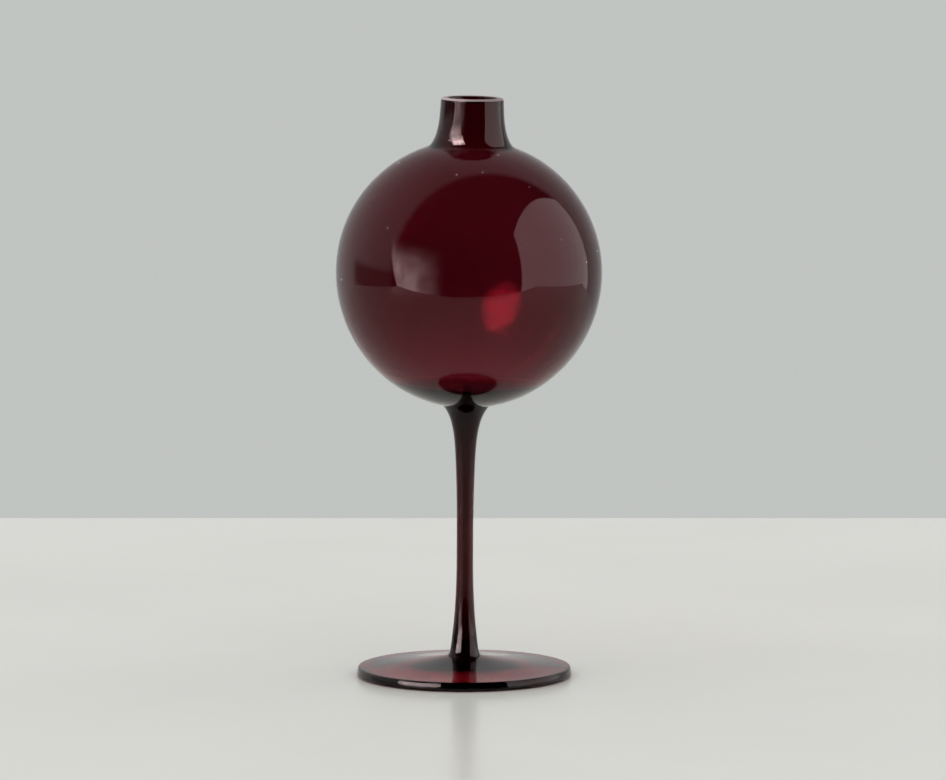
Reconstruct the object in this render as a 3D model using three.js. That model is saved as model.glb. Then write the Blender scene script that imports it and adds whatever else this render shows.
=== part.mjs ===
// Hand-blown glass vase, millimetres, +Z up, standing on z = 0 with its axis on the Z axis.
//
// It is built as stemware is built, from three pieces of hot glass:
//   bowl  a hollow globe blown from one gather, drawn up into a short open neck
//   stem  a solid rod, drawn out thin and flared at both ends
//   foot  a thin disc that rises gently to the stem, domed underneath inside a resting ring
// The stem's two flat ends meet the flat joint faces of the bowl and of the foot.
import * as THREE from 'three';

// ---- driving dimensions ----
const HEIGHT = 280;
const GLOBE_RADIUS = 64;
const GLOBE_CENTRE_Z = 196;
const GLOBE_TOP_RISE = 63.6; // semi-axis above the widest line
const GLOBE_BOTTOM_DROP = 65.5; // semi-axis below it
const NECK_RADIUS = 15;
const FOOT_RADIUS = 51.9;
const FOOT_HEIGHT = 9.6; // the plane where the stem joins the foot

// ---- bowl ----
const SIDE_WALL = 2.6; // at the widest line; the globe is thinner above and below it
const SHOULDER_WALL = 2;
const LOWER_WALL = 1.4;
const CAVITY_FLOOR_Z = 140.3;
const FLOOR_BLEND = 1.6; // how softly the cavity's side turns into its floor
const NECK_WALL = 3.7;
const LIP_ROUND = 1.5; // height of the lip's rounded top
const NECK_FLARE = 5.2; // how far the neck has spread at FLARE_Z
const FLARE_Z = 256.2;
const FLARE_LENGTH = 6.3; // height in which the flare shrinks by a factor e
const SHOULDER_RADIUS = 21.8; // where the globe turns into the fillet under the neck
const FILLET_TOP_Z = 257.8;
const INNER_SHOULDER_RADIUS = 20;
const INNER_FILLET_TOP_Z = 258;

// ---- stem ----
const WAIST_RADIUS = 3.85;
const BASE_FLARE = 3;
const BASE_FLARE_HEIGHT = 19.6;
const BASE_FLARE_POWER = 1.5;
const BASE_TIP = 1.35;
const BASE_TIP_HEIGHT = 1.4;
const TOP_FLARE = 3;
const TOP_FLARE_HEIGHT = 20;
const TOP_TIP = 4.6;
const TOP_TIP_HEIGHT = 6.2;
const STEM_TOP_RADIUS = WAIST_RADIUS + TOP_FLARE + TOP_TIP;
const STEM_BASE_RADIUS = WAIST_RADIUS + BASE_FLARE + BASE_TIP;

// ---- foot ----
const FOOT_EDGE = 4.5; // height of the rim's upper corner
const EDGE_LOWER_ROUND = 1.5;
const EDGE_UPPER_ROUND = 0.8;
const EDGE_DRAFT = 0.5; // how much the rim's face leans in towards its top
const FOOT_RISE_POWER = 1.5; // 1 is a straight cone; more is flatter at the rim
const RING_INNER_RADIUS = 46;
const RECESS_DEPTH = 4;

// ---- how finely curves are cut ----
const BOWL_SIDES = 48;
const STEM_SIDES = 24;
const FOOT_SIDES = 48;
const SLOPE_STEP = 0.1; // height over which the neck's slope is measured

const point = (r, z) => new THREE.Vector2(r, z);

// Points at count + 1 even steps of a curve given as t = 0..1 -> [r, z].
function sample(curve, count) {
  return Array.from({ length: count + 1 }, (_, i) => point(...curve(i / count)));
}

// An elliptic arc about (centreR, centreZ), from one angle to the other.
function arc(centreR, centreZ, radiusR, radiusZ, from, to, count) {
  const angle = (t) => from + (to - from) * t;
  return sample(
    (t) => [centreR + radiusR * Math.cos(angle(t)), centreZ + radiusZ * Math.sin(angle(t))],
    count,
  );
}

// A smooth bend from a to b that leaves a along slopeA and reaches b along slopeB (dz/dr each).
function bend(a, slopeA, b, slopeB, count) {
  const r = (b.y - a.y + slopeA * a.x - slopeB * b.x) / (slopeA - slopeB);
  const corner = point(r, a.y + slopeA * (r - a.x));
  return new THREE.QuadraticBezierCurve(a, corner, b).getPoints(count);
}

function neckOutside(z) {
  return NECK_RADIUS + NECK_FLARE * Math.exp(-(z - FLARE_Z) / FLARE_LENGTH);
}

function neckInside(z) {
  return neckOutside(z) - NECK_WALL;
}

// Height of the lower half of a globe skin at radius r.
function globeFloor(r, radius, drop) {
  return GLOBE_CENTRE_Z - drop * Math.sqrt(Math.max(0, 1 - (r / radius) ** 2));
}

const STEM_TOP_Z = globeFloor(STEM_TOP_RADIUS, GLOBE_RADIUS, GLOBE_BOTTOM_DROP);

// The upper half of a globe skin, the fillet above it and the neck up to the lip.
function neckAndShoulder({ radius, rise, shoulderRadius, neckAt, filletTopZ, steps }) {
  const upper = arc(
    0, GLOBE_CENTRE_Z, radius, rise, 0, Math.acos(shoulderRadius / radius), steps.upper,
  );
  const neck = sample((t) => {
    const z = filletTopZ + (HEIGHT - LIP_ROUND - filletTopZ) * t;
    return [neckAt(z), z];
  }, steps.neck);
  const shoulder = upper.at(-1);
  const shoulderSlope = (-rise * rise * shoulder.x) / (radius * radius * (shoulder.y - GLOBE_CENTRE_Z));
  const neckSlope = SLOPE_STEP / (neckAt(filletTopZ + SLOPE_STEP) - neckAt(filletTopZ));
  const fillet = bend(shoulder, shoulderSlope, neck[0], neckSlope, steps.fillet);
  return [...upper, ...fillet.slice(1), ...neck.slice(1)];
}

function outerSkin() {
  const start = Math.asin(STEM_TOP_RADIUS / GLOBE_RADIUS);
  const lower = sample((t) => {
    const r = GLOBE_RADIUS * Math.sin(start + (Math.PI / 2 - start) * t);
    return [r, globeFloor(r, GLOBE_RADIUS, GLOBE_BOTTOM_DROP)];
  }, 13);
  const above = neckAndShoulder({
    radius: GLOBE_RADIUS,
    rise: GLOBE_TOP_RISE,
    shoulderRadius: SHOULDER_RADIUS,
    neckAt: neckOutside,
    filletTopZ: FILLET_TOP_Z,
    steps: { upper: 11, fillet: 3, neck: 5 },
  });
  return [...lower.slice(0, -1), ...above];
}

// The cavity lies close under the outer skin, with a flatter floor over the stem.
function innerSkin() {
  const radius = GLOBE_RADIUS - SIDE_WALL;
  const lower = sample((t) => {
    const r = radius * Math.sin((Math.PI / 2) * t);
    const side = globeFloor(r, radius, GLOBE_BOTTOM_DROP - LOWER_WALL);
    const lift = Math.exp((side - CAVITY_FLOOR_Z) / FLOOR_BLEND);
    return [r, CAVITY_FLOOR_Z + FLOOR_BLEND * Math.log(1 + lift)];
  }, 16);
  const above = neckAndShoulder({
    radius,
    rise: GLOBE_TOP_RISE - SHOULDER_WALL,
    shoulderRadius: INNER_SHOULDER_RADIUS,
    neckAt: neckInside,
    filletTopZ: INNER_FILLET_TOP_Z,
    steps: { upper: 9, fillet: 2, neck: 4 },
  });
  return [...lower.slice(0, -1), ...above];
}

function bowlProfile() {
  const outside = outerSkin();
  const inside = innerSkin();
  const halfWall = NECK_WALL / 2;
  const lipCentre = outside.at(-1).x - halfWall;
  const lip = arc(lipCentre, HEIGHT - LIP_ROUND, halfWall, LIP_ROUND, 0, Math.PI, 6).slice(1, -1);
  return [point(0, STEM_TOP_Z), ...outside, ...lip, ...inside.reverse()];
}

function stemRadius(z) {
  const up = z - FOOT_HEIGHT;
  const down = STEM_TOP_Z - z;
  const baseFlare = BASE_FLARE * Math.exp(-((up / BASE_FLARE_HEIGHT) ** BASE_FLARE_POWER));
  const baseTip = BASE_TIP * Math.exp(-up / BASE_TIP_HEIGHT);
  const topFlare = TOP_FLARE * Math.exp(-down / TOP_FLARE_HEIGHT);
  const topTip = TOP_TIP * Math.exp(-down / TOP_TIP_HEIGHT);
  return WAIST_RADIUS + baseFlare + baseTip + topFlare + topTip;
}

function stemProfile() {
  // Heights crowd together towards both ends, where the outline turns fastest.
  const heightAt = (t) => {
    const eased = (1 - Math.cos(Math.PI * t)) / 2;
    return FOOT_HEIGHT + (STEM_TOP_Z - FOOT_HEIGHT) * eased;
  };
  const side = sample((t) => [stemRadius(heightAt(t)), heightAt(t)], 22);
  return [point(0, FOOT_HEIGHT), ...side, point(0, STEM_TOP_Z)];
}

function footProfile() {
  const halfPi = Math.PI / 2;
  // The recess is a shallow dome, so the disc is nearly as thin at its middle as at its rim.
  const recess = sample((t) => [RING_INNER_RADIUS * t, RECESS_DEPTH * (1 - t * t)], 6);
  const lowerCorner = arc(
    FOOT_RADIUS - EDGE_LOWER_ROUND, EDGE_LOWER_ROUND,
    EDGE_LOWER_ROUND, EDGE_LOWER_ROUND, -halfPi, 0, 3,
  );
  lowerCorner[0].y = 0;
  const upperCorner = arc(
    FOOT_RADIUS - EDGE_DRAFT - EDGE_UPPER_ROUND, FOOT_EDGE - EDGE_UPPER_ROUND,
    EDGE_UPPER_ROUND, EDGE_UPPER_ROUND, 0, halfPi, 2,
  );
  const rim = upperCorner.at(-1);
  const top = sample((t) => [
    rim.x + (STEM_BASE_RADIUS - rim.x) * t,
    FOOT_EDGE + (FOOT_HEIGHT - FOOT_EDGE) * t ** FOOT_RISE_POWER,
  ], 6).slice(1);
  return [...recess, ...lowerCorner, ...upperCorner, ...top, point(0, FOOT_HEIGHT)];
}

// Turns a profile of (radius, height) points into a closed solid of revolution about Z.
function turned(name, profile, sides, material) {
  const geometry = new THREE.LatheGeometry(profile, sides);
  geometry.rotateX(Math.PI / 2);
  const mesh = new THREE.Mesh(geometry, material);
  mesh.name = name;
  return mesh;
}

const rubyGlass = () => new THREE.MeshStandardMaterial({
  color: 0x4a0610,
  roughness: 0.04,
  metalness: 0,
});

const vase = new THREE.Group();
vase.add(turned('bowl', bowlProfile(), BOWL_SIDES, rubyGlass()));
vase.add(turned('stem', stemProfile(), STEM_SIDES, rubyGlass()));
vase.add(turned('foot', footProfile(), FOOT_SIDES, rubyGlass()));

export default vase;
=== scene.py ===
"""A hand-blown ruby glass vase on a pale table: a globe with a short neck, a drawn stem and a foot.

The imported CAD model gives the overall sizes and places. Its three nodes are replaced by fine
surfaces of revolution on the same outlines, whose other dimensions are repeated below, with the
small unevenness and the lean of hand work. Lengths are in metres; MM turns millimetres into them.
"""
import math
import random

import bmesh
import bpy
from mathutils import Matrix, Vector, noise


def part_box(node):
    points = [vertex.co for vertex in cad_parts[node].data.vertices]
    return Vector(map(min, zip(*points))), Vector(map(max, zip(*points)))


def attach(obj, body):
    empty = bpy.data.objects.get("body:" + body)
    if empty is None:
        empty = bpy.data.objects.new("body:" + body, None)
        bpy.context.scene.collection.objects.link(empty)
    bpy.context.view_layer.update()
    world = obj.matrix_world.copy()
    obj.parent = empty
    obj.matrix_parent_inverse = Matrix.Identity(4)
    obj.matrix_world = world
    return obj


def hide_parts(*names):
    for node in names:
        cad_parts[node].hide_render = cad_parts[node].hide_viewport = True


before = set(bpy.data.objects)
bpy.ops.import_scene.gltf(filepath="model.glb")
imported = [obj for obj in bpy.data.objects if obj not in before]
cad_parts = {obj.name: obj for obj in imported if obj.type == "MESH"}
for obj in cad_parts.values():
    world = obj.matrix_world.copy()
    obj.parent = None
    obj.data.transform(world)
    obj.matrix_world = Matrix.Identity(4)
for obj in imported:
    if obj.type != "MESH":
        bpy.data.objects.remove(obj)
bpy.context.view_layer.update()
MM = 0.001

# ---- sizes read from the frame ----
BOWL_LOW, BOWL_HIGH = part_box("bowl")
STEM_LOW, STEM_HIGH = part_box("stem")
FOOT_LOW, FOOT_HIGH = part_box("foot")
HEIGHT = BOWL_HIGH.z
GLOBE_RADIUS = (BOWL_HIGH.x - BOWL_LOW.x) / 2
STEM_TOP_Z = STEM_HIGH.z
STEM_TOP_RADIUS = (STEM_HIGH.x - STEM_LOW.x) / 2
FOOT_TOP_Z = FOOT_HIGH.z
FOOT_RADIUS = (FOOT_HIGH.x - FOOT_LOW.x) / 2

# ---- bowl: the same outline as the CAD node ----
GLOBE_CENTRE_Z = 196 * MM
GLOBE_TOP_RISE = 63.6 * MM
GLOBE_BOTTOM_DROP = 65.5 * MM
SIDE_WALL = 2.6 * MM  # at the widest line; the globe is thinner above and below it
SHOULDER_WALL = 2.0 * MM
LOWER_WALL = 1.4 * MM
CAVITY_FLOOR_Z = 140.3 * MM
FLOOR_BLEND = 1.6 * MM  # how softly the cavity's side turns into its floor
NECK_RADIUS = 15 * MM
NECK_WALL = 3.7 * MM
LIP_ROUND = 1.5 * MM  # height of the lip's rounded top
LIP_BAND = 1.9 * MM  # the top of the neck, drawn as a piece of its own
NECK_FLARE = 5.2 * MM  # how far the neck has spread at FLARE_Z
FLARE_Z = 256.2 * MM
FLARE_LENGTH = 6.3 * MM  # height in which the flare shrinks by a factor e
SHOULDER_RADIUS = 21.8 * MM  # where the globe turns into the fillet under the neck
FILLET_TOP_Z = 257.8 * MM
INNER_SHOULDER_RADIUS = 20 * MM
INNER_FILLET_TOP_Z = 258 * MM
SLOPE_STEP = 0.1 * MM  # height over which the neck's slope is measured

# ---- stem ----
WAIST_RADIUS = 3.85 * MM
BASE_FLARE = 3 * MM
BASE_FLARE_HEIGHT = 19.6 * MM
BASE_FLARE_POWER = 1.5
BASE_TIP = 1.35 * MM
BASE_TIP_HEIGHT = 1.4 * MM
TOP_FLARE = 3 * MM
TOP_FLARE_HEIGHT = 20 * MM
TOP_TIP = STEM_TOP_RADIUS - WAIST_RADIUS - TOP_FLARE
TOP_TIP_HEIGHT = 6.2 * MM
STEM_BASE_RADIUS = WAIST_RADIUS + BASE_FLARE + BASE_TIP

# ---- foot ----
FOOT_EDGE = 4.5 * MM
EDGE_LOWER_ROUND = 1.5 * MM
EDGE_UPPER_ROUND = 0.8 * MM
EDGE_DRAFT = 0.5 * MM  # how much the rim's face leans in towards its top
FOOT_RISE_POWER = 1.5  # 1 is a straight cone; more is flatter at the rim and steeper at the stem
RING_INNER_RADIUS = 46 * MM
RECESS_DEPTH = 4 * MM

# ---- hand work ----
STEM_LEAN = 0.0055  # sideways run per unit of height
BOWL_LEAN = 0.0202
LEAN_BEND_HEIGHT = 30 * MM  # the stem's last stretch, where it bends to the bowl's lean
JOINT_GAP = 0.03 * MM  # keeps the skins of two fused pieces from lying in each other
OUTER_WAVE = 0.32 * MM  # how far the bowl's outer skin strays from round
INNER_WAVE = 0.55 * MM
BOWL_WAVE_SIZE = 70 * MM
AXIS_FADE = 30 * MM  # the bowl's waves grow over this distance from its axis
JOINT_FADE = 20 * MM  # and over this height above the stem
LIP_FADE = 12 * MM  # and fade over this height below the lip
STEM_WAVE = 0.12 * MM
STEM_WAVE_SIZE = 22 * MM
FOOT_WAVE = 0.25 * MM
FOOT_WAVE_SIZE = 60 * MM
OUTER_DRAW, INNER_DRAW, STEM_DRAW, FOOT_DRAW = 4.7, 11.3, 7.9, 2.1  # places in the noise
SEED_DRAW = 3
SEED_COUNT = 26
SEED_STAND_OFF = 0.05 * MM
SEED_RISES = (-5, 74)  # degrees above the globe's widest line
SEED_RADII = (0.2, 0.36)  # millimetres

# ---- how finely surfaces are cut ----
SIDES = 160
SHARP_ANGLE = math.radians(38)
ON_AXIS = 1e-7  # a radius below this is a single point on the axis

# ---- glass ----
GLASS_IOR = 1.5
RUBY = (0.622, 0.067, 0.219, 1)
FOOT_RUBY = (0.72, 0.067, 0.219, 1)
BODY_DENSITY = 1000.0  # absorption per metre
FOOT_DENSITY = 500.0
# the lip band absorbs more than the body: painted shade that darkens the view into the mouth
LIP_SHADE_DENSITY = 2400.0
MIRROR_TINT = (1, 0.82, 0.82, 1)  # makes what the glass mirrors head-on slightly mauve
# painted highlight: the pale pink of the sheen along the lip's outer top edge
LIP_SHEEN_PINK = (0.36, 0.27, 0.28, 1)
# painted glints: the pale colour of the seed specks, standing in for light caught on bubbles
SEED_GLINT_WHITE = (0.95, 0.88, 0.89, 1)

# ---- camera ----
CAMERA_PLACE = Vector((4.2 * MM, -3.087, 0.501))
CAMERA_PITCH = math.radians(-6.69)
CAMERA_LENS = 245.6

# ---- stage ----
TABLE_BACK = 0.558
TABLE_FRONT = -0.72
TABLE_HALF_WIDTH = 1.35
TABLE_GAP = 0.05 * MM  # a film of air under the foot, as between any two hard faces
TABLE_DARKER = (0.765, 0.765, 0.735, 1)
TABLE_PALER = (0.845, 0.845, 0.815, 1)
AMBIENT = (0.97, 0.97, 0.96, 1)  # lights matt surfaces evenly
BACKDROP = (0.602, 0.620, 0.606, 1)  # what the camera sees behind the table and through the glass

# ---- the room that the glass mirrors: levels of light, and shares of a unit direction ----
DARK_ROOM = 0.02
WALL_SKEW = 0.48  # the pale wall begins farther round on the right
WALL_LEVELS = (0.55, 0.62)
LEFT_LEVEL = 0.3
FURNITURE_TOP = 0.10
FURNITURE_DEPTH = 0.7
CARD_MIDDLE = -0.23  # along the card, in distances from the vase to it, as are its other sizes
CARD_ENDS = (-0.95, 0.72)
CARD_TOP = 1.18
CARD_BOW = 0.45
CARD_SOFT_EDGE = 0.04
CARD_LEVELS = (2.2, 1.75)  # near end, far end
JAMB_SIDE = -0.93  # the window's crisp far side
JAMB_SLANT = 0.127
WINDOW_NEAR_SIDE = -0.34
WINDOW_TOP = 0.46
WINDOW_LEVELS = (2.9, 5.8)  # behind the curtain's folds, between them

# ---- lamps ----
LAMP_DIRECTION = (-0.479, -0.711, 0.515)
LAMP_EDGE = 0.92  # cosine of the glow's half-angle
LAMP_LEVEL = 40.0
NECK_LIGHT_Z = 260 * MM
NECK_LIGHT_DISTANCE = 90 * MM
NECK_LIGHT_SIZE = (40 * MM, 30 * MM)
NECK_BEAM = math.radians(26)
NECK_REACH_SPARE = 2 * MM
RIM_LIGHT_PLACE = Vector((-0.905, -0.760, 0.25))
RIM_LIGHT_TARGET = Vector((0, 0, 0.02))
RIM_LIGHT_SIZE = (1.1, 0.36)
RIM_LIGHT_LEVEL = 6.0


# ================= outlines =================
def sample(curve, count):
    """Points at count + 1 even steps of a curve given as t = 0..1 -> (radius, height)."""
    return [Vector(curve(i / count)) for i in range(count + 1)]


def arc(centre, radius_r, radius_z, start, stop, count):
    """An elliptic arc about centre from angle start to angle stop."""

    def on_arc(t):
        angle = start + (stop - start) * t
        return (centre[0] + radius_r * math.cos(angle), centre[1] + radius_z * math.sin(angle))

    return sample(on_arc, count)


def bend(a, slope_a, b, slope_b, count):
    """A smooth bend from a to b that leaves a along slope_a and reaches b along slope_b."""
    r = (b.y - a.y + slope_a * a.x - slope_b * b.x) / (slope_a - slope_b)
    corner = Vector((r, a.y + slope_a * (r - a.x)))

    def on_bend(t):
        return a * (1 - t) ** 2 + corner * 2 * t * (1 - t) + b * t * t

    return sample(on_bend, count)


def neck_outside(z):
    return NECK_RADIUS + NECK_FLARE * math.exp(-(z - FLARE_Z) / FLARE_LENGTH)


def neck_inside(z):
    return neck_outside(z) - NECK_WALL


def globe_floor(r, radius, drop):
    """Height of the lower half of a globe skin at radius r."""
    return GLOBE_CENTRE_Z - drop * math.sqrt(max(0.0, 1 - (r / radius) ** 2))


def neck_and_shoulder(radius, rise, shoulder_radius, neck_at, fillet_top):
    """The upper half of a globe skin, the fillet above it and the neck up to the lip."""
    centre = (0, GLOBE_CENTRE_Z)
    upper = arc(centre, radius, rise, 0, math.acos(shoulder_radius / radius), 46)

    def on_neck(t):
        z = fillet_top + (HEIGHT - LIP_BAND - fillet_top) * t
        return (neck_at(z), z)

    neck = sample(on_neck, 24)
    shoulder = upper[-1]
    shoulder_slope = -rise * rise * shoulder.x / (radius * radius * (shoulder.y - GLOBE_CENTRE_Z))
    neck_slope = SLOPE_STEP / (neck_at(fillet_top + SLOPE_STEP) - neck_at(fillet_top))
    fillet = bend(shoulder, shoulder_slope, neck[0], neck_slope, 12)
    return upper + fillet[1:] + neck[1:]


def outer_skin():
    start = math.asin(STEM_TOP_RADIUS / GLOBE_RADIUS)

    def on_lower(t):
        r = GLOBE_RADIUS * math.sin(start + (math.pi / 2 - start) * t)
        return (r, globe_floor(r, GLOBE_RADIUS, GLOBE_BOTTOM_DROP))

    above = neck_and_shoulder(
        GLOBE_RADIUS, GLOBE_TOP_RISE, SHOULDER_RADIUS, neck_outside, FILLET_TOP_Z
    )
    return sample(on_lower, 60)[:-1] + above


def inner_skin():
    """The cavity: close under the outer skin, but with a flatter floor over the stem."""
    radius = GLOBE_RADIUS - SIDE_WALL

    def on_lower(t):
        r = radius * math.sin(math.pi / 2 * t)
        side = globe_floor(r, radius, GLOBE_BOTTOM_DROP - LOWER_WALL)
        lift = math.exp((side - CAVITY_FLOOR_Z) / FLOOR_BLEND)
        return (r, CAVITY_FLOOR_Z + FLOOR_BLEND * math.log(1 + lift))

    above = neck_and_shoulder(
        radius, GLOBE_TOP_RISE - SHOULDER_WALL, INNER_SHOULDER_RADIUS, neck_inside, INNER_FILLET_TOP_Z
    )
    return sample(on_lower, 70)[:-1] + above


def bowl_outline():
    """The bowl up to the plane where the lip begins."""
    outside = outer_skin()
    inside = inner_skin()
    face_z = STEM_TOP_Z + JOINT_GAP
    joint_face = [Vector((0, face_z)), Vector((STEM_TOP_RADIUS / 2, face_z))]
    outside[0].y = face_z
    return joint_face + outside + inside[::-1]


def lip_outline():
    """The top of the neck's wall, rounded over."""
    base_z = HEIGHT - LIP_BAND
    edge_z = HEIGHT - LIP_ROUND
    middle = neck_outside(edge_z) - NECK_WALL / 2
    over = arc((middle, edge_z), NECK_WALL / 2, LIP_ROUND, 0, math.pi, 24)
    outer_foot = Vector((neck_outside(base_z), base_z + JOINT_GAP))
    inner_foot = Vector((neck_inside(base_z), base_z + JOINT_GAP))
    return [outer_foot] + over + [inner_foot]


def stem_radius(z):
    up = z - FOOT_TOP_Z
    down = STEM_TOP_Z - z
    base_flare = BASE_FLARE * math.exp(-((up / BASE_FLARE_HEIGHT) ** BASE_FLARE_POWER))
    base_tip = BASE_TIP * math.exp(-up / BASE_TIP_HEIGHT)
    top_flare = TOP_FLARE * math.exp(-down / TOP_FLARE_HEIGHT)
    top_tip = TOP_TIP * math.exp(-down / TOP_TIP_HEIGHT)
    return WAIST_RADIUS + base_flare + base_tip + top_flare + top_tip


def stem_outline():
    base_z = FOOT_TOP_Z + JOINT_GAP

    def on_side(t):
        z = base_z + (STEM_TOP_Z - base_z) * (1 - math.cos(math.pi * t)) / 2
        return (stem_radius(z), z)

    return [Vector((0, base_z))] + sample(on_side, 110) + [Vector((0, STEM_TOP_Z))]


def foot_outline():
    quarter = math.pi / 2
    face_tilt = 0.16  # the upper corner's arc begins where the leaning face meets it

    def on_recess(t):
        return (RING_INNER_RADIUS * t, RECESS_DEPTH * (1 - t * t))

    recess = sample(on_recess, 18)
    lower_centre = (FOOT_RADIUS - EDGE_LOWER_ROUND, EDGE_LOWER_ROUND)
    upper_centre = (FOOT_RADIUS - EDGE_DRAFT - EDGE_UPPER_ROUND, FOOT_EDGE - EDGE_UPPER_ROUND)
    lower = arc(lower_centre, EDGE_LOWER_ROUND, EDGE_LOWER_ROUND, -quarter, 0, 8)
    upper = arc(upper_centre, EDGE_UPPER_ROUND, EDGE_UPPER_ROUND, face_tilt, quarter, 6)
    rim = upper[-1]

    def on_top(t):
        rise = (FOOT_TOP_Z - FOOT_EDGE) * t ** FOOT_RISE_POWER
        return (rim.x + (STEM_BASE_RADIUS - rim.x) * t, FOOT_EDGE + rise)

    return recess + lower + upper + sample(on_top, 24)[1:] + [Vector((0, FOOT_TOP_Z))]


# ================= meshes =================
def lean(point):
    """Moves a point of the upright vase to where the leaning axis carries it."""
    height = max(0.0, min(point.z, STEM_TOP_Z) - FOOT_TOP_Z)
    bend_start = STEM_TOP_Z - LEAN_BEND_HEIGHT
    u = max(0.0, min(1.0, (point.z - bend_start) / LEAN_BEND_HEIGHT))
    extra = BOWL_LEAN - STEM_LEAN
    foot_blend = max(0.0, min(1.0, (point.z - FOOT_TOP_Z) / LEAN_BEND_HEIGHT))
    slope = STEM_LEAN * foot_blend + extra * (3 * u * u - 2 * u ** 3)
    shift = STEM_LEAN * height + extra * LEAN_BEND_HEIGHT * (u ** 3 - u ** 4 / 2)
    shift += BOWL_LEAN * max(0.0, point.z - STEM_TOP_Z)
    return Vector((point.x + shift, point.y, point.z - point.x * slope))


def turned(name, outline, unevenness):
    """A closed surface of revolution; unevenness(point, index) pushes each point off its circle.

    An outline that starts off the axis is joined up into a ring.
    """
    vertices = []
    rings = []
    for index, (radius, height) in enumerate(outline):
        if radius < ON_AXIS:
            rings.append([len(vertices)])
            vertices.append(lean(Vector((0, 0, height))))
            continue
        ring = []
        for side in range(SIDES):
            angle = 2 * math.pi * side / SIDES
            direction = Vector((math.cos(angle), math.sin(angle), 0))
            place = direction * radius + Vector((0, 0, height))
            ring.append(len(vertices))
            vertices.append(lean(place + direction * unevenness(place, index)))
        rings.append(ring)
    faces = []
    steps = list(zip(rings, rings[1:]))
    if len(rings[0]) > 1:
        steps.append((rings[-1], rings[0]))
    for low, high in steps:
        for side in range(SIDES):
            after = (side + 1) % SIDES
            if len(low) == 1:
                faces.append((low[0], high[after], high[side]))
            elif len(high) == 1:
                faces.append((low[side], low[after], high[0]))
            else:
                faces.append((low[side], low[after], high[after], high[side]))
    mesh = bpy.data.meshes.new(name)
    mesh.from_pydata([tuple(v) for v in vertices], [], faces)
    mesh.polygons.foreach_set("use_smooth", [True] * len(mesh.polygons))
    mesh.set_sharp_from_angle(angle=SHARP_ANGLE)
    mesh.update()
    piece = bpy.data.objects.new(name, mesh)
    bpy.context.scene.collection.objects.link(piece)
    return piece


def wave(point, size, draw):
    """Smooth noise, about -1 to 1, with bumps about as large as size."""
    return noise.noise(point / size + Vector((draw, -draw, draw * 0.37)))


def make_bowl():
    outline = bowl_outline()
    inner_start = max(range(len(outline)), key=lambda index: outline[index].y)

    def unevenness(place, index):
        fade = min(1.0, math.hypot(place.x, place.y) / AXIS_FADE)
        joint_fade = min(1.0, max(0.0, (place.z - STEM_TOP_Z) / JOINT_FADE))
        joint_fade *= min(1.0, (HEIGHT - LIP_BAND - place.z) / LIP_FADE)
        inside = index >= inner_start
        draw = INNER_DRAW if inside else OUTER_DRAW
        depth = INNER_WAVE if inside else OUTER_WAVE
        return depth * wave(place, BOWL_WAVE_SIZE, draw) * fade * joint_fade

    return turned("blown_bowl", outline, unevenness)


def make_lip():
    return turned("polished_lip", lip_outline(), lambda _place, _index: 0.0)


def make_seed_glints():
    """Seed bubbles that have risen to the globe's skin, as a few pale specks: painted glints,
    standing in for the light such bubbles catch.
    """
    rng = random.Random(SEED_DRAW)
    specks = bmesh.new()
    for _ in range(SEED_COUNT):
        turn = rng.uniform(-math.pi, math.pi)
        rise = math.radians(rng.uniform(*SEED_RISES))
        flat = (GLOBE_RADIUS + SEED_STAND_OFF) * math.cos(rise)
        z = GLOBE_CENTRE_Z + (GLOBE_TOP_RISE + SEED_STAND_OFF) * math.sin(rise)
        place = lean(Vector((flat * math.sin(turn), -flat * math.cos(turn), z)))
        size = rng.uniform(*SEED_RADII) * MM
        at_place = Matrix.Translation(place)
        bmesh.ops.create_icosphere(specks, subdivisions=1, radius=size, matrix=at_place)
    mesh = bpy.data.meshes.new("seed_bubbles")
    specks.to_mesh(mesh)
    specks.free()
    piece = bpy.data.objects.new("seed_bubbles", mesh)
    bpy.context.scene.collection.objects.link(piece)
    return piece


def make_stem():
    def unevenness(place, _index):
        up = (place.z - STEM_LOW.z) / (STEM_TOP_Z - STEM_LOW.z)
        fade = max(0.0, math.sin(math.pi * up))
        return STEM_WAVE * wave(place, STEM_WAVE_SIZE, STEM_DRAW) * fade

    return turned("drawn_stem", stem_outline(), unevenness)


def make_foot():
    def unevenness(place, _index):
        outward = min(1.0, math.hypot(place.x, place.y) / FOOT_RADIUS)
        return FOOT_WAVE * wave(place, FOOT_WAVE_SIZE, FOOT_DRAW) * outward ** 4

    return turned("pressed_foot", foot_outline(), unevenness)


# ================= materials =================
def node(tree, kind, **inputs):
    """A shader node with its named inputs set to numbers, colours or linked sockets."""
    made = tree.nodes.new(kind)
    for name, value in inputs.items():
        socket = made.inputs[name.replace("_", " ")]
        if isinstance(value, bpy.types.NodeSocket):
            tree.links.new(value, socket)
        else:
            socket.default_value = value
    return made


def maths(tree, operation, *values):
    """The output of a Math node on numbers or sockets."""
    made = tree.nodes.new("ShaderNodeMath")
    made.operation = operation
    for socket, value in zip(made.inputs, values):
        if isinstance(value, bpy.types.NodeSocket):
            tree.links.new(value, socket)
        else:
            socket.default_value = value
    return made.outputs[0]


def length_of(tree, a, b):
    """The length of the flat vector (a, b)."""
    a_squared = maths(tree, "MULTIPLY", a, a)
    b_squared = maths(tree, "MULTIPLY", b, b)
    return maths(tree, "SQRT", maths(tree, "ADD", a_squared, b_squared))


def spread(tree, value, low, high, to_low=0.0, to_high=1.0, smooth=False):
    """Maps low..high of a socket to to_low..to_high, held at both ends."""
    made = tree.nodes.new("ShaderNodeMapRange")
    made.interpolation_type = "SMOOTHSTEP" if smooth else "LINEAR"
    tree.links.new(value, made.inputs["Value"])
    made.inputs["From Min"].default_value = low
    made.inputs["From Max"].default_value = high
    made.inputs["To Min"].default_value = to_low
    made.inputs["To Max"].default_value = to_high
    return made.outputs["Result"]


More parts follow.
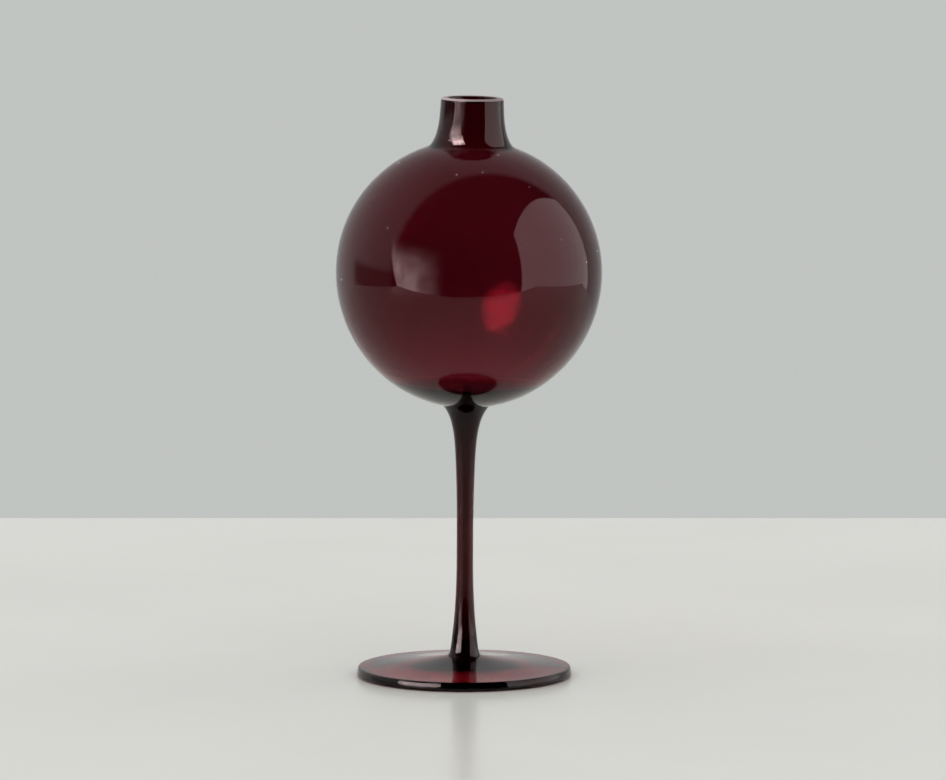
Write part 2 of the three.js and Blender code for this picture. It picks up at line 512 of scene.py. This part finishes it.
def mix_colour(tree, factor, first, second):
    """The output of a colour Mix node: first where factor is 0, second where it is 1."""
    made = tree.nodes.new("ShaderNodeMix")
    made.data_type = "RGBA"
    tree.links.new(factor, made.inputs[0])
    for socket, value in ((made.inputs[6], first), (made.inputs[7], second)):
        if isinstance(value, bpy.types.NodeSocket):
            tree.links.new(value, socket)
        else:
            socket.default_value = value
    return made.outputs[2]


def ruby_glass(name, density, colour):
    """Clear glass that swallows green and blue: polished, with faint waves and roughness."""
    material = bpy.data.materials.new(name)
    material.use_nodes = True
    tree = material.node_tree
    tree.nodes.clear()
    place = tree.nodes.new("ShaderNodeTexCoord").outputs["Object"]
    smears = node(tree, "ShaderNodeTexNoise", Vector=place, Scale=55.0, Detail=3.0)
    polish = spread(tree, smears.outputs["Fac"], 0.35, 0.75, 0.004, 0.022)
    waves = node(tree, "ShaderNodeTexNoise", Vector=place, Scale=38.0, Detail=1.0)
    bump = node(tree, "ShaderNodeBump", Strength=0.18, Distance=0.0006, Height=waves.outputs["Fac"])
    glass = node(
        tree,
        "ShaderNodeBsdfPrincipled",
        Base_Color=(1, 1, 1, 1),
        Roughness=polish,
        IOR=GLASS_IOR,
        Transmission_Weight=1.0,
        Specular_Tint=MIRROR_TINT,
        Normal=bump.outputs["Normal"],
    )
    body = node(tree, "ShaderNodeVolumeAbsorption", Color=colour, Density=density)
    output = tree.nodes.new("ShaderNodeOutputMaterial")
    tree.links.new(glass.outputs["BSDF"], output.inputs["Surface"])
    tree.links.new(body.outputs["Volume"], output.inputs["Volume"])
    return material


def sheen_lip_glass():
    """Ruby glass that absorbs more than the body's, as painted shade in the view into the mouth. Its
    outer top edge is rougher and painted a pale, matt pink as a painted highlight: the sheen along
    the lip.
    """
    material = ruby_glass("ruby_lip", LIP_SHADE_DENSITY, RUBY)
    tree = material.node_tree
    glass = next(n for n in tree.nodes if n.type == "BSDF_PRINCIPLED")
    place = tree.nodes.new("ShaderNodeTexCoord").outputs["Object"]
    x, y, z = node(tree, "ShaderNodeSeparateXYZ", Vector=place).outputs
    across = maths(tree, "SUBTRACT", x, lean(Vector((0, 0, HEIGHT))).x)
    height = maths(tree, "ADD", z, maths(tree, "MULTIPLY", across, BOWL_LEAN))
    radius = length_of(tree, across, y)
    middle = NECK_RADIUS - NECK_WALL / 2
    outer = spread(tree, radius, middle - 1.0 * MM, middle - 0.5 * MM)
    above = spread(tree, height, HEIGHT - 1.0 * MM, HEIGHT - 0.7 * MM)
    # the ring where the lip's outer top edge is painted pale pink, as a painted highlight of its
    # sheen
    sheen_ring = maths(tree, "MULTIPLY", outer, above)
    colour = mix_colour(tree, sheen_ring, (1, 1, 1, 1), LIP_SHEEN_PINK)
    tree.links.new(colour, glass.inputs["Base Color"])
    tree.links.new(spread(tree, sheen_ring, 0.0, 1.0, 0.01, 0.35), glass.inputs["Roughness"])
    tree.links.new(spread(tree, sheen_ring, 0.0, 1.0, 1.0, 0.25), glass.inputs["Transmission Weight"])
    return material


def seed_material():
    material = bpy.data.materials.new("seed_glint")
    material.use_nodes = True
    surface = material.node_tree.nodes["Principled BSDF"]
    surface.inputs["Base Color"].default_value = SEED_GLINT_WHITE
    surface.inputs["Roughness"].default_value = 0.3
    return material


def table_material():
    material = bpy.data.materials.new("pale_table")
    material.use_nodes = True
    tree = material.node_tree
    tree.nodes.clear()
    place = tree.nodes.new("ShaderNodeTexCoord").outputs["Object"]
    mottle = node(tree, "ShaderNodeTexNoise", Vector=place, Scale=5.0, Detail=4.0)
    surface = node(
        tree,
        "ShaderNodeBsdfPrincipled",
        Base_Color=mix_colour(tree, mottle.outputs["Fac"], TABLE_DARKER, TABLE_PALER),
        Roughness=0.22,
        Specular_IOR_Level=0.12,
    )
    output = tree.nodes.new("ShaderNodeOutputMaterial")
    tree.links.new(surface.outputs["BSDF"], output.inputs["Surface"])
    return material


# ================= stage =================
def make_table():
    mesh = bpy.data.meshes.new("table")
    w = TABLE_HALF_WIDTH
    z = -TABLE_GAP
    corners = [(-w, TABLE_FRONT, z), (w, TABLE_FRONT, z), (w, TABLE_BACK, z), (-w, TABLE_BACK, z)]
    mesh.from_pydata(corners, [], [(0, 1, 2, 3)])
    table = bpy.data.objects.new("table", mesh)
    bpy.context.scene.collection.objects.link(table)
    mesh.materials.append(table_material())


def wall_light(tree, x, y, z):
    """The pale wall and ceiling behind, and the lit side of the room on the left."""
    behind = maths(tree, "SUBTRACT", y, maths(tree, "MULTIPLY", x, WALL_SKEW))
    mask = spread(tree, behind, 0.06, 0.20, smooth=True)
    level = spread(tree, y, 0.0, 0.75, *WALL_LEVELS)
    level = maths(tree, "ADD", level, spread(tree, x, -0.9, -0.3, LEFT_LEVEL, 0.0))
    low = spread(tree, z, 0.0, FURNITURE_TOP, FURNITURE_DEPTH, 0.0, smooth=True)
    far_left = spread(tree, x, -0.93, -0.84, 1.0, 0.0, smooth=True)
    dark_furniture = maths(tree, "MULTIPLY", low, far_left)
    level = maths(tree, "MULTIPLY", level, maths(tree, "SUBTRACT", 1.0, dark_furniture))
    return maths(tree, "MULTIPLY", mask, level)


def card_mask(tree, x, y, z):
    """A flat card that stands on the right, in a plane of constant x, with a bowed top.

    Returns where it is seen, and how bright it is there.
    """
    right = maths(tree, "MAXIMUM", x, 0.02)
    along = maths(tree, "DIVIDE", y, right)
    up = maths(tree, "DIVIDE", z, right)
    off_middle = maths(tree, "ABSOLUTE", maths(tree, "SUBTRACT", along, CARD_MIDDLE))
    bow = maths(tree, "POWER", off_middle, 2.0)
    top = maths(tree, "SUBTRACT", CARD_TOP, maths(tree, "MULTIPLY", bow, CARD_BOW))
    near, far = CARD_ENDS
    mask = spread(tree, maths(tree, "SUBTRACT", top, up), 0.0, CARD_SOFT_EDGE)
    mask = maths(tree, "MULTIPLY", mask, spread(tree, along, near, near + CARD_SOFT_EDGE))
    far_edge = spread(tree, along, far - CARD_SOFT_EDGE, far, 1.0, 0.0)
    mask = maths(tree, "MULTIPLY", mask, far_edge)
    mask = maths(tree, "MULTIPLY", mask, spread(tree, x, 0.03, 0.06))
    return mask, spread(tree, along, -0.9, 0.7, *CARD_LEVELS)


def window_light(tree, direction, x, y, z):
    """A window low on the left: a crisp far side, a soft near side and top, uneven like a curtain."""
    side = maths(tree, "DIVIDE", x, length_of(tree, x, y))
    jamb = maths(tree, "SUBTRACT", JAMB_SIDE, maths(tree, "MULTIPLY", z, JAMB_SLANT))
    level = spread(tree, maths(tree, "SUBTRACT", side, jamb), 0.0, 0.014)
    near_side = spread(tree, side, -0.92, WINDOW_NEAR_SIDE, 1.0, 0.0, smooth=True)
    level = maths(tree, "MULTIPLY", level, near_side)
    top = spread(tree, z, 0.05, WINDOW_TOP, 1.0, 0.0, smooth=True)
    level = maths(tree, "MULTIPLY", level, top)
    level = maths(tree, "MULTIPLY", level, spread(tree, y, -0.1, 0.0, 1.0, 0.0))
    curtain = node(tree, "ShaderNodeTexNoise", Vector=direction, Scale=7.0, Detail=2.0)
    folds = spread(tree, curtain.outputs["Fac"], 0.3, 0.7, *WINDOW_LEVELS)
    return maths(tree, "MULTIPLY", level, folds)


def lamp_light(tree, direction):
    """A soft lamp high on the left in front. Only light that crosses the glass shows it."""
    towards = node(tree, "ShaderNodeVectorMath", Vector=direction)
    towards.operation = "DOT_PRODUCT"
    towards.inputs[1].default_value = LAMP_DIRECTION
    return spread(tree, towards.outputs["Value"], LAMP_EDGE, 1.0, 0.0, LAMP_LEVEL, smooth=True)


def room_light(tree, direction, x, y, z):
    """What the glass reflects: a dark room in front, a side window, a card, a pale wall behind."""
    card, card_level = card_mask(tree, x, y, z)
    total = maths(tree, "MULTIPLY", card, card_level)
    past_card = maths(tree, "SUBTRACT", 1.0, card)
    wall = maths(tree, "MULTIPLY", past_card, wall_light(tree, x, y, z))
    total = maths(tree, "ADD", total, wall)
    total = maths(tree, "ADD", total, window_light(tree, direction, x, y, z))
    return maths(tree, "ADD", total, DARK_ROOM)


def make_world():
    """A plain backdrop, even light for matt surfaces, and a room for the glass to mirror."""
    world = bpy.data.worlds.new("studio")
    bpy.context.scene.world = world
    world.use_nodes = True
    tree = world.node_tree
    tree.nodes.clear()
    direction = tree.nodes.new("ShaderNodeTexCoord").outputs["Generated"]
    x, y, z = node(tree, "ShaderNodeSeparateXYZ", Vector=direction).outputs
    path = tree.nodes.new("ShaderNodeLightPath")
    through = path.outputs["Is Transmission Ray"]
    seen = maths(tree, "MAXIMUM", path.outputs["Is Camera Ray"], through)
    room = room_light(tree, direction, x, y, z)
    light = mix_colour(tree, path.outputs["Is Glossy Ray"], AMBIENT, room)
    light = mix_colour(tree, seen, light, BACKDROP)
    # The lamp shows only past the globe's far wall, so that its near wall adds no second spot.
    crossings = spread(tree, path.outputs["Transmission Depth"], 2.0, 3.0)
    deep = maths(tree, "MULTIPLY", through, crossings)
    lamp = maths(tree, "MULTIPLY", deep, lamp_light(tree, direction))
    shown = node(tree, "ShaderNodeBackground", Color=light, Strength=1.0)
    glow = node(tree, "ShaderNodeBackground", Color=(1, 1, 1, 1), Strength=lamp)
    both = tree.nodes.new("ShaderNodeAddShader")
    tree.links.new(shown.outputs["Background"], both.inputs[0])
    tree.links.new(glow.outputs["Background"], both.inputs[1])
    output = tree.nodes.new("ShaderNodeOutputWorld")
    tree.links.new(both.outputs["Shader"], output.inputs["Surface"])


def aim(thing, target):
    """Turns a light or camera so that its -Z axis points at target."""
    thing.rotation_euler = (target - thing.location).to_track_quat("-Z", "Y").to_euler()


def area_light(name, place, target, size, radiance, beam_angle=math.pi):
    """A rectangular light that the camera doesn't see. A narrow spread makes it a beam.

    A beam needs less power than a plain light to look as bright from inside it.
    """
    data = bpy.data.lights.new(name, "AREA")
    data.shape = "RECTANGLE"
    data.size, data.size_y = size
    share = 1.0 if beam_angle == math.pi else math.tan(beam_angle / 2) ** 2 / 3
    data.energy = radiance * math.pi * share * size[0] * size[1]
    data.spread = beam_angle
    light = bpy.data.objects.new(name, data)
    light.location = place
    light.visible_camera = False
    aim(light, target)
    bpy.context.scene.collection.objects.link(light)
    return light


def stop_beyond(light, reach):
    """Lets a light shine only on what is nearer than reach, as a snoot would."""
    light.data.use_nodes = True
    tree = light.data.node_tree
    length = tree.nodes.new("ShaderNodeLightPath").outputs["Ray Length"]
    near = maths(tree, "LESS_THAN", length, reach)
    tree.links.new(near, tree.nodes["Emission"].inputs["Strength"])


def light_neck():
    """Small beams close to the neck: broad and bright on its flare, narrow and dim above."""
    neck = Vector((BOWL_LEAN * (NECK_LIGHT_Z - STEM_TOP_Z), 0, NECK_LIGHT_Z))
    # Each row: height above the neck, level of light, degrees round from the front.
    rows = (
        (92 * MM, 16.0, (-33, -46, -60, -74, -88)),
        (64 * MM, 13.0, (-36, -50, -64, -78)),
        (36 * MM, 8.0, (-44, -58, -70)),
    )
    for row, (lift, level, turns) in enumerate(rows):
        for column, turn in enumerate(turns):
            angle = math.radians(turn)
            away = Vector((math.sin(angle), -math.cos(angle), 0))
            spot = neck + away * NECK_RADIUS
            place = spot + away * NECK_LIGHT_DISTANCE + Vector((0, 0, lift))
            name = f"neck_light_{row}_{column}"
            beam = area_light(name, place, spot, NECK_LIGHT_SIZE, level, NECK_BEAM)
            stop_beyond(beam, (place - spot).length + NECK_REACH_SPARE)


def light_rim():
    """A wide window for the foot and stem only, which the foot's rim mirrors."""
    rim = area_light(
        "rim_light", RIM_LIGHT_PLACE, RIM_LIGHT_TARGET, RIM_LIGHT_SIZE, RIM_LIGHT_LEVEL
    )
    lit = bpy.data.collections.new("lit_by_rim_light")
    for name in ("drawn_stem", "pressed_foot"):
        lit.objects.link(bpy.data.objects[name])
    rim.light_linking.receiver_collection = lit


def make_camera():
    data = bpy.data.cameras.new("camera")
    data.sensor_width = 36
    data.lens = CAMERA_LENS
    data.clip_start = 0.1
    data.clip_end = 50
    camera = bpy.data.objects.new("camera", data)
    camera.location = CAMERA_PLACE
    camera.rotation_euler = (math.pi / 2 + CAMERA_PITCH, 0, 0)
    bpy.context.scene.collection.objects.link(camera)
    bpy.context.scene.camera = camera


def set_light_paths():
    """Enough bounces for light to cross the walls of the hollow globe."""
    scene = bpy.context.scene
    scene.cycles.max_bounces = 24
    scene.cycles.transmission_bounces = 24
    scene.cycles.glossy_bounces = 10
    scene.cycles.diffuse_bounces = 3
    scene.view_settings.view_transform = "Standard"
    scene.view_settings.gamma = 0.8


# ================= the vase =================
def finish_piece(piece, cad_node, material):
    piece.data.materials.append(material)
    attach(piece, "root")
    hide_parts(cad_node)


def make_vase():
    finish_piece(make_bowl(), "bowl", ruby_glass("ruby_bowl", BODY_DENSITY, RUBY))
    finish_piece(make_lip(), "bowl", sheen_lip_glass())
    finish_piece(make_seed_glints(), "bowl", seed_material())
    finish_piece(make_stem(), "stem", ruby_glass("ruby_stem", BODY_DENSITY, RUBY))
    finish_piece(make_foot(), "foot", ruby_glass("ruby_foot", FOOT_DENSITY, FOOT_RUBY))


make_camera()
make_world()
make_table()
make_vase()
light_neck()
light_rim()
set_light_paths()
